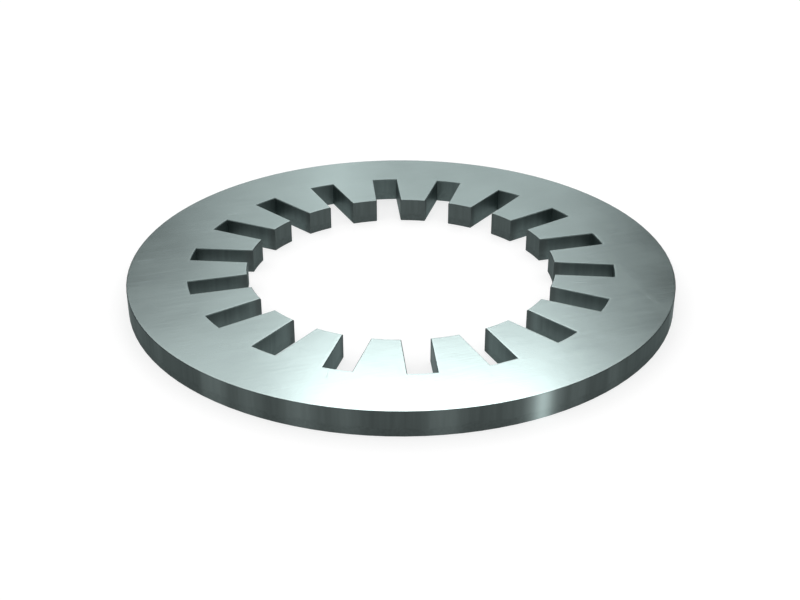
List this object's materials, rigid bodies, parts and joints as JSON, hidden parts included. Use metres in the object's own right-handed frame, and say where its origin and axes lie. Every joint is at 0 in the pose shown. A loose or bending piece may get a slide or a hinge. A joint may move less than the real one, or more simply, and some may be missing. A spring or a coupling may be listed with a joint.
{
  "type": "internal tooth lock washer",
  "caption": "Flat stamped lock washer whose square teeth point into the bolt hole, clamped under a bolt head or nut so that it doesn't turn loose.",
  "frame": {"origin": "centre of the bottom face, on the axis of the bolt hole", "axes": "+Z along the axis of the bolt hole, from the bottom face to the top face, and one tooth points along +X"},
  "size_m": [0.0229, 0.0228, 0.001],
  "materials": {
    "zinc_plated_steel": "bright zinc plate on hardened spring steel, smooth rolled faces and darker sheared edges"
  },
  "bodies": {
    "root": {"lock_washer": "zinc_plated_steel"}
  },
  "joints": []
}
